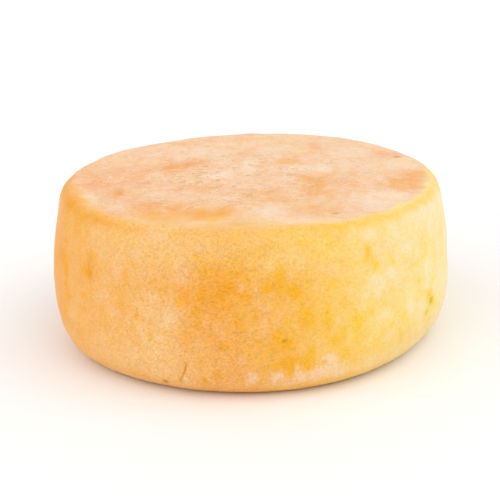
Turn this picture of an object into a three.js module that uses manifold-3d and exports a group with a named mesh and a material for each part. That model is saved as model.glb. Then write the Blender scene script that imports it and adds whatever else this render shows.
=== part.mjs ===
// A whole cheese wheel with its natural rind, as it comes off the ripening shelf: one uncut piece,
// with a flat foot, a side that bellies out low down, a fairly tight top edge and a top face that
// has sunk a little. Millimetres, +Z up. The origin is at the middle of the footprint, on the
// surface that the wheel stands on, and the side that is meant to be seen faces -Y.

import * as THREE from "three";
import Module from "manifold-3d";
import { mergeVertices } from "three/addons/utils/BufferGeometryUtils.js";

const wasm = await Module();
wasm.setup();

// Driving dimensions of the outline, from the foot up.
const FOOT_RADIUS = 82.7; // the flat that the wheel stands on
const BELLY_RADIUS = 100; // the widest ring
const BELLY_HEIGHT = 30.4; // low on the side, because the young curd sags
const SHOULDER_RADIUS = 95.9; // where the side turns into the top edge
const SHOULDER_DROP = 5.8; // how far that is below the top face
const TOP_FACE_RADIUS = 87.4;
const HEIGHT = 79.3;
const TOP_SAG = 0.9; // how far the middle of the top face has sunk

const FOOT_FULLNESS = 0.62; // 0.55 makes the rounding under the belly an ellipse; more is squarer
const SIDE_TURN = 0.52; // how far up from the belly to the shoulder the side starts to lean in

// Out of round: waves round the wheel, with their number, depth and the angle of a crest in degrees.
const FOOT_WAVES = [
  { count: 2, depth: 1.0, crest: 30 },
  { count: 3, depth: 0.4, crest: -32 },
  { count: 4, depth: 1.05, crest: 15 },
];
const SHOULDER_WAVES = [
  { count: 2, depth: 0.7, crest: -67 },
  { count: 4, depth: 1.1, crest: -32 },
];

// Low swells that cross the whole rind, left by the cloth and the shelf. Each has a wavelength, a
// depth, a direction and a phase, and the one before it bends it out of a straight line.
const SWELLS = [
  { length: 74, depth: 0.26, along: [0.82, 0.51, 0.27], phase: 1.9 },
  { length: 53, depth: 0.2, along: [-0.36, 0.88, 0.31], phase: 2.1 },
  { length: 38, depth: 0.16, along: [0.58, -0.33, 0.74], phase: 4.4 },
  { length: 27, depth: 0.13, along: [-0.71, -0.24, 0.66], phase: 1.2 },
  { length: 19, depth: 0.09, along: [0.16, 0.93, -0.33], phase: 5.3 },
];
const SWELL_BEND = 1.3; // radians of phase
const SWELLS_START = 9; // height where they reach their full depth, so that the foot stays flat

// Mesh density, in steps along each stretch of the outline and round the wheel.
const STEPS = { foot: 4, underBelly: 9, side: 9, topEdge: 5, topFace: 13 };
const COLUMNS = 120;

// The drying crack low on the front: its line, as degrees round the wheel and height.
const CRACK_LINE = [
  [-107.4, 20.6],
  [-108.5, 17],
  [-109.3, 13.5],
  [-110.9, 9],
];
const CRACK_WIDTH = 1.1; // at its middle
const CRACK_END = 0.25; // share of that width at its two ends
const CRACK_DEPTH = 2;

// Pin-holes in the rind, each an angle and height on the side with its width, its height and its depth.
const PINHOLES = [
  { angle: -31.8, height: 28.9, wide: 4.2, tall: 5.0, deep: 1.3 },
  { angle: -33.6, height: 23.6, wide: 2.2, tall: 3.6, deep: 0.9 },
  { angle: -82.4, height: 30.3, wide: 3.2, tall: 2.4, deep: 0.8 },
  { angle: -115.9, height: 6.9, wide: 2.4, tall: 2.2, deep: 0.9 },
];
// More of them round the back, scattered between two angles and two heights.
const STRAY_PINHOLES = { count: 9, from: 15, to: 160, low: 14, high: 68, seed: 12 };
const STRAY_WIDTH = [2, 3.6];
const STRAY_TALLNESS = [0.7, 1.3]; // height over width
const STRAY_DEEPNESS = 0.3; // depth over width
const PINHOLE_FACETS = 1; // subdivisions of each pin-hole's icosahedron

const SAME_POINT = 1e-3; // points closer than this are one

const RIND_COLOUR = 0xf0b465;
const RIND_ROUGHNESS = 0.62;

// The outline as (radius, height) points, from the middle of the foot to the middle of the top face.
function outline() {
  const at = (r, z) => new THREE.Vector2(r, z);
  const shoulder = at(SHOULDER_RADIUS, HEIGHT - SHOULDER_DROP);
  const foot = at(FOOT_RADIUS, 0);
  const belly = at(BELLY_RADIUS, BELLY_HEIGHT);
  const topRim = at(TOP_FACE_RADIUS, HEIGHT);

  const underBelly = new THREE.CubicBezierCurve(
    foot,
    at(foot.x + (belly.x - foot.x) * FOOT_FULLNESS, 0),
    at(belly.x, belly.y * (1 - FOOT_FULLNESS)),
    belly,
  );
  const leanStart = at(belly.x, THREE.MathUtils.lerp(belly.y, shoulder.y, SIDE_TURN));
  const side = new THREE.QuadraticBezierCurve(belly, leanStart, shoulder);

  // The side's lean carried on to the level of the top face gives the corner that the top edge rounds off.
  const lean = (shoulder.x - leanStart.x) / (shoulder.y - leanStart.y);
  const corner = at(shoulder.x + lean * SHOULDER_DROP, HEIGHT);
  const topEdge = new THREE.QuadraticBezierCurve(shoulder, corner, topRim);

  const stretches = [
    [new THREE.LineCurve(at(0, 0), foot), STEPS.foot],
    [underBelly, STEPS.underBelly],
    [side, STEPS.side],
    [topEdge, STEPS.topEdge],
    [new THREE.LineCurve(topRim, at(0, HEIGHT)), STEPS.topFace],
  ];
  return [at(0, 0), ...stretches.flatMap(([curve, steps]) => curve.getPoints(steps).slice(1))];
}

function waveSum(waves, angle) {
  const wave = (w) => w.depth * Math.cos(w.count * (angle - THREE.MathUtils.degToRad(w.crest)));
  return waves.reduce((sum, w) => sum + wave(w), 0);
}

// Pushes a vertex of the round wheel outwards or inwards, and sinks the top face.
function makeUneven(p) {
  const radius = Math.hypot(p.x, p.y);
  const angle = Math.atan2(p.y, p.x);
  const up = p.z / HEIGHT;
  const push = THREE.MathUtils.lerp(waveSum(FOOT_WAVES, angle), waveSum(SHOULDER_WAVES, angle), up);
  const grow = 1 + push / BELLY_RADIUS;
  const onTop = THREE.MathUtils.smoothstep(up, 1 - SHOULDER_DROP / HEIGHT, 1);
  const sag = onTop * TOP_SAG * Math.max(0, 1 - (radius / TOP_FACE_RADIUS) ** 2);
  return p.set(p.x * grow, p.y * grow, p.z - sag);
}

function swell(p) {
  let sum = 0;
  let before = 0;
  for (const { length, depth, along, phase } of SWELLS) {
    const turns = p.dot(new THREE.Vector3(...along)) / length;
    before = Math.sin(2 * Math.PI * turns + phase + SWELL_BEND * before);
    sum += depth * before;
  }
  return sum * THREE.MathUtils.smoothstep(p.z, 0, SWELLS_START);
}

// A closed geometry with nothing but its positions, and each of its points once.
function bare(geometry) {
  const copy = geometry.index ? geometry.toNonIndexed() : geometry.clone();
  for (const name of Object.keys(copy.attributes)) if (name !== "position") copy.deleteAttribute(name);
  return mergeVertices(copy, SAME_POINT);
}

function eachPoint(geometry, change) {
  const position = geometry.getAttribute("position");
  const p = new THREE.Vector3();
  for (let i = 0; i < position.count; i++) {
    change(p.fromBufferAttribute(position, i), i);
    position.setXYZ(i, p.x, p.y, p.z);
  }
  position.needsUpdate = true;
}

// The wheel without its marks: a turned outline, then the unevenness of a hand-made cheese.
function wheelBody() {
  const turned = new THREE.LatheGeometry(outline(), COLUMNS);
  turned.rotateX(Math.PI / 2);
  const shell = bare(turned);
  eachPoint(shell, makeUneven);
  shell.computeVertexNormals();
  const normals = shell.getAttribute("normal").clone();
  const normal = new THREE.Vector3();
  eachPoint(shell, (p, i) => p.addScaledVector(normal.fromBufferAttribute(normals, i), swell(p)));
  return shell;
}

function solidOf(geometry) {
  const shell = bare(geometry);
  return new wasm.Manifold(
    new wasm.Mesh({
      numProp: 3,
      vertProperties: shell.getAttribute("position").array,
      triVerts: new Uint32Array(shell.index.array),
    }),
  );
}

function geometryOf(solid) {
  const mesh = solid.getMesh();
  const geometry = new THREE.BufferGeometry();
  geometry.setAttribute("position", new THREE.BufferAttribute(mesh.vertProperties, 3));
  geometry.setIndex(new THREE.BufferAttribute(mesh.triVerts, 1));
  return geometry;
}

// Where the side lies at an angle round the wheel and a height: a level ray from outside towards
// the axis finds it.
function sidePoint(body, angleDegrees, height) {
  const angle = THREE.MathUtils.degToRad(angleDegrees);
  const outwards = new THREE.Vector3(Math.cos(angle), Math.sin(angle), 0);
  const start = outwards.clone().multiplyScalar(2 * BELLY_RADIUS).setZ(height);
  const [hit] = new THREE.Raycaster(start, outwards.clone().negate()).intersectObject(body);
  return { point: hit.point, normal: hit.face.normal };
}

// Turns a cutter, made round its own origin with +Z as the outward direction, to stand on the surface.
function placeOn(cutter, { point, normal }) {
  const up = new THREE.Vector3(0, 0, 1);
  const across = new THREE.Vector3().crossVectors(up, normal).normalize();
  const alongSurface = new THREE.Vector3().crossVectors(normal, across);
  const turn = new THREE.Matrix4().makeBasis(across, alongSurface, normal);
  return cutter.applyMatrix4(turn.setPosition(point));
}

function pinholeCutter(body, hole) {
  const cutter = new THREE.IcosahedronGeometry(1, PINHOLE_FACETS);
  cutter.scale(hole.wide / 2, hole.tall / 2, hole.deep);
  return placeOn(cutter, sidePoint(body, hole.angle, hole.height));
}

// A wedge swept along the crack's line: it stands as far out of the surface as it goes in, where it
// closes at its root, so at the surface it is half as wide as at its open side.
function crackCutter(body) {
  const stations = CRACK_LINE.map(([angle, height]) => sidePoint(body, angle, height));
  const positions = [];
  stations.forEach(({ point, normal }, i) => {
    const share = i / (stations.length - 1);
    const fullness = THREE.MathUtils.lerp(CRACK_END, 1, Math.sin(Math.PI * share));
    const before = stations[Math.max(0, i - 1)].point;
    const after = stations[Math.min(stations.length - 1, i + 1)].point;
    const across = new THREE.Vector3().subVectors(after, before).cross(normal).normalize();
    const proud = point.clone().addScaledVector(normal, CRACK_DEPTH);
    positions.push(proud.clone().addScaledVector(across, CRACK_WIDTH * fullness));
    positions.push(proud.clone().addScaledVector(across, -CRACK_WIDTH * fullness));
    positions.push(point.clone().addScaledVector(normal, -CRACK_DEPTH));
  });
  const faces = [0, 1, 2];
  for (let i = 0; i + 1 < stations.length; i++) {
    const a = 3 * i;
    const b = a + 3;
    for (const [j, k] of [[0, 1], [1, 2], [2, 0]]) faces.push(a + j, b + j, b + k, a + j, b + k, a + k);
  }
  const last = 3 * (stations.length - 1);
  faces.push(last, last + 2, last + 1);
  const wedge = new THREE.BufferGeometry().setFromPoints(positions);
  wedge.setIndex(faces);
  return wedge;
}

// A small repeatable random number source, so that the stray pin-holes are the same each time.
function seededRandom(seed) {
  let state = seed;
  return () => {
    state = (state * 16807) % 2147483647;
    return state / 2147483647;
  };
}

function strayPinholes() {
  const random = seededRandom(STRAY_PINHOLES.seed);
  const between = ([low, high]) => THREE.MathUtils.lerp(low, high, random());
  const { count, from, to, low, high } = STRAY_PINHOLES;
  return Array.from({ length: count }, (_, i) => {
    const wide = between(STRAY_WIDTH);
    return {
      angle: from + ((to - from) * between([i, i + 1])) / count,
      height: between([low, high]),
      wide,
      tall: wide * between(STRAY_TALLNESS),
      deep: wide * STRAY_DEEPNESS,
    };
  });
}

function cheeseWheel() {
  const plain = wheelBody();
  const body = new THREE.Mesh(plain);
  let solid = solidOf(plain);
  const cutters = [...PINHOLES, ...strayPinholes()].map((hole) => pinholeCutter(body, hole));
  cutters.push(crackCutter(body));
  for (const cutter of cutters) solid = solid.subtract(solidOf(cutter));

  const geometry = geometryOf(solid);
  geometry.computeBoundingBox();
  const middle = geometry.boundingBox.getCenter(new THREE.Vector3());
  geometry.translate(-middle.x, -middle.y, -geometry.boundingBox.min.z);
  geometry.computeVertexNormals();

  const rind = new THREE.MeshStandardMaterial({ color: RIND_COLOUR, roughness: RIND_ROUGHNESS });
  const wheel = new THREE.Mesh(geometry, rind);
  wheel.name = "cheese_wheel";
  return wheel;
}

const cheese = new THREE.Group();
cheese.add(cheeseWheel());

export default cheese;
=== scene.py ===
# %% [markdown]
# # A cheese wheel with its natural rind
#
# A whole small wheel of semi-hard cheese has stood on a shelf for some months. It was washed and
# turned by hand, so its side has gone from pale straw to orange, and its top face is peach-coloured
# where a thin bloom lies on it in streaks.
#
# The wheel is one piece. What follows makes the same wheel again with a much finer surface, puts it
# in the place of the plain CAD solid, and gives it a rind, a studio and a camera.

import math

import bpy
import numpy as np
from mathutils import Matrix, Vector


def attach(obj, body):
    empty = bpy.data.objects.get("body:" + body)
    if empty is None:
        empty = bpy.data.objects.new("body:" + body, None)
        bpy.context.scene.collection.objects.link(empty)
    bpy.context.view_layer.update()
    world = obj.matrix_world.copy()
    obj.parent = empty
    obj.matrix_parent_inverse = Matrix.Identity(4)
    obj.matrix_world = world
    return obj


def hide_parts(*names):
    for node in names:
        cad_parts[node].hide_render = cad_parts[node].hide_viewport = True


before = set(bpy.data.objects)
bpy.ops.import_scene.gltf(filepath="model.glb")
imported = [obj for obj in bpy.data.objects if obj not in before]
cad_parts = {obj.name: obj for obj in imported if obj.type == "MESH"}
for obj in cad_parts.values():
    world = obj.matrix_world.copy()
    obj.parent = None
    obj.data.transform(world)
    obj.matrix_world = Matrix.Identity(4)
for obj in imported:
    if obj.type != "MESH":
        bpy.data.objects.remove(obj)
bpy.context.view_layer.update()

# %% [markdown]
# ## The camera
#
# The wheel is seen from a little above and from fairly far back, so that the top face shows as a
# flat ellipse. The camera could be placed by eye. Three facts place it instead: how far away it is,
# how steeply it looks down, and how long its lens is. It is also turned by two degrees about its own
# line of sight, as a camera is that is held by hand.

# %% Camera
MM = 0.001

SEEN_FROM = 600 * MM  # from the lens to the middle of the wheel
LOOKS_DOWN = math.radians(19.0)
HELD_ASKEW = math.radians(2.02)
AIM = Vector((-0.2, 0.0, 39.1)) * MM
SENSOR = 36.0  # mm wide, as Blender wants it
LENS = 83.7  # mm long


def in_the_scene(name, data):
    """A new object that holds the data and belongs to the scene."""
    made = bpy.data.objects.new(name, data)
    bpy.context.scene.collection.objects.link(made)
    return made


def camera_looking_at(aim, distance, down, askew):
    """A camera in the vertical plane through -Y. Its own +Z axis points back from the aim to it,
    and its +X axis is level before it is turned about that +Z axis."""
    back = Vector((0, -math.cos(down), math.sin(down)))
    right = Vector((1, 0, 0))
    stand = Matrix((right, back.cross(right), back)).transposed().to_4x4()
    stand.translation = aim + distance * back
    made = in_the_scene("camera", bpy.data.cameras.new("camera"))
    made.matrix_world = stand @ Matrix.Rotation(-askew, 4, "Z")
    return made


camera = camera_looking_at(AIM, SEEN_FROM, LOOKS_DOWN, HELD_ASKEW)
camera.data.lens = LENS
camera.data.sensor_width = SENSOR
bpy.context.scene.camera = camera
print("the camera stands at", [round(c, 3) for c in camera.matrix_world.translation], "m")

# %% [markdown]
# ## The outline
#
# Half of the wheel's section tells almost everything about its shape. From the foot it curves out
# under the belly, stands nearly upright for a while, leans in a little, and turns over the top edge
# into the top face. It could be drawn by hand, point by point. Three Bezier curves do it with seven
# sizes and two shares, and they meet without a kink, because each starts in the direction in which
# the last one ends.

# %% Sizes of the outline, in millimetres
FOOT_RADIUS = 82.7
BELLY_RADIUS = 100.0
BELLY_HEIGHT = 30.4
SHOULDER_RADIUS = 95.9
SHOULDER_DROP = 5.8
TOP_FACE_RADIUS = 87.4
HEIGHT = 79.3

FOOT_FULLNESS = 0.62  # how far from its ends to its corner the lowest curve's control points lie
SIDE_TURN = 0.52  # how far up from the belly to the shoulder the side's control point lies

ROWS = {"under belly": 42, "side": 60, "top edge": 18}  # rows of points on each curve


def bezier(points, share):
    """The point at each share of the way along a Bezier curve: the control points are drawn
    together, each towards the next by that share, until one is left."""
    share = np.asarray(share)[:, None]
    left = [np.asarray(p, float)[None, :] for p in points]
    while len(left) > 1:
        left = [a + (b - a) * share for a, b in zip(left, left[1:])]
    return left[0]


def outline():
    """Radius and height along the half section, from the foot's rim to the top face's rim."""
    foot = (FOOT_RADIUS, 0)
    belly = (BELLY_RADIUS, BELLY_HEIGHT)
    shoulder = (SHOULDER_RADIUS, HEIGHT - SHOULDER_DROP)
    rim = (TOP_FACE_RADIUS, HEIGHT)
    lean_start = (BELLY_RADIUS, BELLY_HEIGHT + (shoulder[1] - BELLY_HEIGHT) * SIDE_TURN)
    lean = (shoulder[0] - lean_start[0]) / (shoulder[1] - lean_start[1])
    corner = (shoulder[0] + lean * SHOULDER_DROP, HEIGHT)
    bulge = (FOOT_RADIUS + (BELLY_RADIUS - FOOT_RADIUS) * FOOT_FULLNESS, 0)
    rise = (BELLY_RADIUS, BELLY_HEIGHT * (1 - FOOT_FULLNESS))
    curves = {
        "under belly": [foot, bulge, rise, belly],
        "side": [belly, lean_start, shoulder],
        "top edge": [shoulder, corner, rim],
    }
    parts = [bezier(points, np.arange(ROWS[name]) / ROWS[name]) for name, points in curves.items()]
    return np.vstack([*parts, [rim]])


section = outline()
print(len(section), "rows of points from the foot to the top face")

# %% [markdown]
# ## Columns round the wheel
#
# The surface is a grid: rows along the outline and columns round the wheel. One crack low on the
# front is only a millimetre wide, so the columns stand closer together there. The grid could be
# cut finer everywhere, but that would spend most of its points where nothing happens.

# %% Angles of the columns
COLUMNS = 600  # a multiple of four, so that a square grid can fill the top face
CROWD_AT = math.radians(-108.5)  # where the crack will be
CROWD = 2.4  # columns that are added there for each one
CROWD_SPREAD = math.radians(4)
FINE_STEPS = 7200  # small steps round the wheel, in which the crowd is summed up


def band(value, middle, half):
    """A soft band round a value: a bell that falls to 37 % at half its width."""
    return np.exp(-(((value - middle) / half) ** 2))


def column_angles():
    """The crowd of columns at an angle is one plus a bell round the crack. Its running sum, scaled
    to the number of columns, says how many columns have passed; read backwards it gives angles."""
    fine = np.linspace(-math.pi, math.pi, FINE_STEPS + 1)
    crowd = 1 + CROWD * band(fine, CROWD_AT, CROWD_SPREAD)
    passed = np.concatenate([[0], np.cumsum((crowd[1:] + crowd[:-1]) / 2)])
    return np.interp(np.arange(COLUMNS) / COLUMNS, passed / passed[-1], fine)


angles = column_angles()
gaps = np.diff(angles) * BELLY_RADIUS
print(f"columns stand {gaps.min():.2f} to {gaps.max():.2f} mm apart at the belly")

# %% [markdown]
# ## The plain round wheel as a grid of points
#
# The side is the outline carried round the axis. The top face can't be made like that: its columns
# would crowd together at the middle. So a square grid is bent into a disc: each square ring of the
# grid becomes a circle, and its corners and sides are spread over the same angles as the columns,
# which makes the disc's edge meet the side point by point. The foot is flat and hidden, so a few
# wide rings are enough for it.

# %% Rings of points
FOOT_RINGS = (0.3, 0.6, 0.85, 0.97)  # shares of the foot's radius


def ring_points(radius, height):
    """Points on circles: radius times the cosine and sine of each column's angle, and a height."""
    x = radius[:, None] * np.cos(angles)
    y = radius[:, None] * np.sin(angles)
    return np.stack([x, y, np.repeat(height[:, None], COLUMNS, axis=1)], axis=-1)


foot_rings = ring_points(FOOT_RADIUS * np.array(FOOT_RINGS), np.zeros(len(FOOT_RINGS)))
side_rings = ring_points(section[:, 0], section[:, 1])
rings = np.concatenate([foot_rings, side_rings])
print(rings.shape[0], "rings of", COLUMNS, "points")


# %% A disc out of a square grid
def square_as_disc():
    """A square grid with a quarter of the columns on each side, as unit disc coordinates.
    A grid point's ring is the larger of its two distances from the middle. Its way round is where
    it lies on the outline of that ring, in sides of the square from the corner at -135 degrees, and
    that share of the columns gives its angle. Also gives each point's column, and which are the rim."""
    line = np.linspace(-1, 1, COLUMNS // 4 + 1)
    a, b = np.meshgrid(line, line, indexing="ij")
    ring = np.maximum(abs(a), abs(b))
    tiny = 1e-9
    u, v = a / np.maximum(ring, tiny), b / np.maximum(ring, tiny)
    sides = [v <= tiny - 1, u >= 1 - tiny, v >= 1 - tiny]
    way = np.select(sides, [(u + 1) / 2, 1 + (v + 1) / 2, 2 + (1 - u) / 2], 3 + (1 - v) / 2)
    column = (way / 4 * COLUMNS) % COLUMNS
    angle = np.interp(column, np.arange(COLUMNS + 1), np.append(angles, angles[0] + 2 * math.pi))
    disc = np.stack([ring * np.cos(angle), ring * np.sin(angle)], axis=-1)
    return disc, np.rint(column).astype(int) % COLUMNS, ring > 1 - tiny


def quads(ids):
    """Four corners for each cell of a grid of point numbers, counter-clockwise."""
    return np.stack([ids[:-1, :-1], ids[:-1, 1:], ids[1:, 1:], ids[1:, :-1]], axis=-1).reshape(-1, 4)


disc, disc_column, on_rim = square_as_disc()
top = np.dstack([disc * TOP_FACE_RADIUS, np.full(on_rim.shape, HEIGHT)])

ring_ids = np.arange(rings.shape[0] * COLUMNS).reshape(rings.shape[:2])
disc_ids = np.empty(on_rim.shape, int)
disc_ids[on_rim] = ring_ids[-1][disc_column[on_rim]]
disc_ids[~on_rim] = ring_ids.size + np.arange((~on_rim).sum())
foot_middle = ring_ids.size + (~on_rim).sum()

points = np.vstack([rings.reshape(-1, 3), top[~on_rim], [[0, 0, 0]]])
closed = np.hstack([ring_ids, ring_ids[:, :1]])
faces = np.vstack([quads(closed), quads(disc_ids.T)])
fan = np.stack([closed[0, 1:], closed[0, :-1], np.full(COLUMNS, foot_middle)], axis=-1)
print(len(points), "points,", 2 * len(faces) + len(fan), "triangles")

# %% [markdown]
# ## Unevenness
#
# No such wheel is round. The curd sagged while it was young, the hoop was not a true circle, and
# cloth and shelf left low swells. Random noise could do all that, but a few named waves can be told
# apart and tuned: two or three go round the foot and the shoulder, and five low swells cross the
# whole rind, each bent by the one before it so that they do not look like ripples.

# %% Out of round and sagged
FOOT_WAVES = ((2, 1.0, 30), (3, 0.4, -32), (4, 1.05, 15))  # number, depth in mm, crest in degrees
SHOULDER_WAVES = ((2, 0.7, -67), (4, 1.1, -32))
TOP_SAG = 0.9  # mm by which the middle of the top face has sunk


def eased(value, low, high):
    """0 below low, 1 above high, and a smooth S between them."""
    t = np.clip((value - low) / (high - low), 0, 1)
    return t * t * (3 - 2 * t)


def wave_sum(waves, angle):
    """The sum of cosines that go round the wheel a whole number of times."""
    return sum(depth * np.cos(count * (angle - math.radians(crest))) for count, depth, crest in waves)


def out_of_round(p):
    """Each point moves out from the axis by a share of its radius, which passes from the foot's
    waves to the shoulder's waves with height, and the top face sinks most at its middle."""
    radius = np.hypot(p[:, 0], p[:, 1])
    angle = np.arctan2(p[:, 1], p[:, 0])
    up = p[:, 2] / HEIGHT
    push = (1 - up) * wave_sum(FOOT_WAVES, angle) + up * wave_sum(SHOULDER_WAVES, angle)
    near_top = eased(up, 1 - SHOULDER_DROP / HEIGHT, 1)
    sag = near_top * TOP_SAG * np.clip(1 - (radius / TOP_FACE_RADIUS) ** 2, 0, None)
    return np.column_stack([p[:, :2] * (1 + push / BELLY_RADIUS)[:, None], p[:, 2] - sag])


smooth = out_of_round(points)
print("the uneven wheel spans", (smooth.max(0) - smooth.min(0)).round(1), "mm")

# %% Swells, and the direction in which they rise
SWELLS = (  # wavelength and depth in mm, direction, phase
    (74, 0.26, (0.82, 0.51, 0.27), 1.9),
    (53, 0.20, (-0.36, 0.88, 0.31), 2.1),
    (38, 0.16, (0.58, -0.33, 0.74), 4.4),
    (27, 0.13, (-0.71, -0.24, 0.66), 1.2),
    (19, 0.09, (0.16, 0.93, -0.33), 5.3),
)
SWELL_BEND = 1.3  # radians of phase
SWELLS_START = 9.0  # height where they reach their full depth, so that the foot stays flat


def swell(p):
    """Sine waves in five directions, each one's phase shifted by the height of the one before."""
    total, before = 0, 0
    for length, depth, along, phase in SWELLS:
        before = np.sin(2 * np.pi * (p @ np.array(along)) / length + phase + SWELL_BEND * before)
        total = total + depth * before
    return total * eased(p[:, 2], 0, SWELLS_START)


def outwards(p):
    """The outward direction at each point: the sum of the crossed diagonals of the faces round it,
    made one long."""
    out = np.zeros_like(p)
    crossed = np.cross(p[faces[:, 2]] - p[faces[:, 0]], p[faces[:, 3]] - p[faces[:, 1]])
    for corner in range(4):
        np.add.at(out, faces[:, corner], crossed)
    out[foot_middle] = (0, 0, -1)
    return out / np.linalg.norm(out, axis=1, keepdims=True)


normals = outwards(smooth)
swells = swell(smooth)
print(f"the swells go from {swells.min():.2f} to {swells.max():.2f} mm")

# %% [markdown]
# ## Noise that is the same on every run
#
# Rind is full of small unevenness with no pattern. Blender's Displace modifier could add it, but
# then the colours could not follow it. So the script has its own three-dimensional noise: every
# corner of a lattice gets a direction from a hash of its whole-number place, and a point's value
# blends the eight corners round it. It needs no random numbers, so it cannot come out differently.
# Two such noises, called the wander here, will shift the edges of marks and bands.

# %% Lattice noise
AXIS_PRIMES = np.array([374761393, 668265263, 2246822519], np.uint32)
SEED_PRIME = 2654435761
MIXER = np.uint32(1274126177)
FOLDS = np.uint32(13), np.uint32(16)  # bits by which the number is shifted over itself
SLOPE_BITS = 10  # each of a slope's three numbers is read from so many bits
ORIGIN_PLACE = 100  # the lattice place of the wheel's origin
NOISE_GAIN = 1.6  # takes the noise to about -1 to 1


def lattice_hash(cell, seed):
    """A scrambled whole number for each lattice corner: its three places times large primes are
    added, and the sum is folded on itself twice."""
    total = (cell.astype(np.uint32) * AXIS_PRIMES).sum(-1, dtype=np.uint32)
    total = total + np.uint32(seed * SEED_PRIME % 2**32)
    total = (total ^ (total >> FOLDS[0])) * MIXER
    return total ^ (total >> FOLDS[1])


def noise(p, size, seed):
    """Smooth noise of about -1 to 1 whose bumps are about `size` mm wide: the slope at each of the
    eight lattice corners, met with the way from that corner, blended by how near the corner is."""
    q = p / size + ORIGIN_PLACE
    cell = np.floor(q).astype(np.int64)
    inside = q - cell
    ease = inside**3 * (inside * (inside * 6 - 15) + 10)
    most = 2**SLOPE_BITS - 1
    total = np.zeros(len(p))
    for corner in np.ndindex(2, 2, 2):
        step = np.array(corner)
        bits = lattice_hash(cell + step, seed)
        thirds = [bits >> np.uint32(SLOPE_BITS * axis) & np.uint32(most) for axis in range(3)]
        slope = np.stack(thirds, axis=-1) / (most / 2) - 1
        weight = np.prod(np.where(step == 1, ease, 1 - ease), axis=1)
        total += weight * np.sum(slope * (inside - step), axis=1)
    return NOISE_GAIN * total


def layered_noise(p, size, seed, layers=3):
    """Noise plus the same at half the size and half the depth, and so on."""
    parts = [noise(p, size / 2**i, seed + i) / 2**i for i in range(layers)]
    return sum(parts) / sum(0.5**i for i in range(layers))


WANDER_SIZE = 7.0  # mm
wander = [layered_noise(smooth, WANDER_SIZE, seed) for seed in (11, 21)]
print(f"the noise spreads by {wander[0].std():.2f} about {wander[0].mean():.2f}")

# %% [markdown]
# ## Places on the rind
#
# Marks on the side are placed by the angle round the wheel and the height, and marks on the top
# face by how far they lie to the right of and behind its middle. How far up a place is goes on over
# the top edge: above the shoulder, what a point has come in towards the axis is added to its height.
#
# The side's colours end a little way in from the edge, where the washing cloth turned. They end
# softly along the left and the front, and sooner and more sharply on the right and at the back.

# %% Angle, height and the way up
SIDE_ENDS = 83.5  # on the way up in mm, where the peach colour of the top face starts
EDGE_WANDERS = 3.5  # mm up and down
FOOT_ENDS, FOOT_RIM = 1.5, 3.0  # mm above the foot and outside it, where the foot's colour ends

place_angle = np.degrees(np.arctan2(smooth[:, 1], smooth[:, 0]))
place_height = smooth[:, 2]
radius = np.hypot(smooth[:, 0], smooth[:, 1])
shoulder_height = HEIGHT - SHOULDER_DROP
above_shoulder = eased(points[:, 2], shoulder_height - 1, shoulder_height)
come_in = np.clip(SHOULDER_RADIUS - np.hypot(points[:, 0], points[:, 1]), 0, None)
way_up = points[:, 2] + above_shoulder * come_in

EDGE_REACH = (  # degrees, how many mm further in the side's colours reach, and how wide they end
    (-175, 2, 5),
    (-165, 4, 7),
    (-158, 2.5, 8),
    (-145, 0.5, 9),
    (-135, 0, 7),
    (-125, 3, 7),
    (-115, 4, 8),
    (-105, 1, 8),
    (-95, 0, 9),
    (-85, -1, 9),
    (-75, -1, 9),
    (-65, -2, 5),
    (-55, -1.5, 5),
    (-45, 0, 4.5),
    (-20, 0, 4.5),
    (5, -3, 4.5),
    (90, -4, 4.5),
    (165, -4, 4.5),
)
edge_at, *edge_keys = np.array(EDGE_REACH).T
edge_reach, edge_width = (np.interp(place_angle, edge_at, key, period=360) for key in edge_keys)
side_ends = SIDE_ENDS + edge_reach
on_top = eased(way_up + EDGE_WANDERS * wander[0], side_ends, side_ends + edge_width)
near_foot = eased(-radius, -FOOT_RADIUS - FOOT_RIM, -FOOT_RADIUS)
on_foot = eased(-place_height, -FOOT_ENDS, 0) * near_foot
on_side = (1 - on_top) * (1 - on_foot)
print(f"{on_top.mean():.0%} of the points lie on the top face and {on_side.mean():.0%} on the side")

# %% Millimetres away from a place on the side
MM_A_DEGREE = math.radians(1) * BELLY_RADIUS  # round the belly


def round_from(angle):
    """Millimetres round the belly from an angle in degrees, the short way."""
    return ((place_angle - angle + 180) % 360 - 180) * MM_A_DEGREE


print(f"a quarter of the way round is {-round_from(-90)[place_angle < -90].min():.0f} mm at the belly")

# %% [markdown]
# ## Relief
#
# Under the fingers the rind is leathery: lumps a centimetre apart, folds of a few millimetres, and
# on the top face fine wrinkles that the cloth pressed in. The hoop's rim has pressed the top edge
# nearly smooth. These are real shapes here, because they show along the edge of the wheel and in the
# meshes that are taken from it. Only what is finer than the grid is left to the material's bump.

# %% Lumps, folds and wrinkles
LUMP_SIZE, LUMP_DEPTH = 13.0, 0.24
FOLD_SIZE, FOLD_DEPTH = 5.5, 0.12
GRAIN_SIZE, GRAIN_DEPTH = 2.8, 0.08
WRINKLE_SIZE, WRINKLE_DEPTH = 6.0, 0.16
WRINKLE_SHRINK = (0.6, 1.0, 1.0)  # places are drawn together so much, which makes wrinkles longer
WRINKLE_WANDERS = 1.2  # mm
WRINKLE_LEVEL = 0.25  # how strong the noise is where the skin is neither raised nor sunk
RELIEF_STARTS = 4.0  # height in mm where it reaches its full depth
EDGE_PRESSED = 0.8  # the share of its relief that the top edge lost in the hoop
EDGE_MIDDLE, EDGE_HALF = 83, 9  # on the way up, in mm

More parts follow.
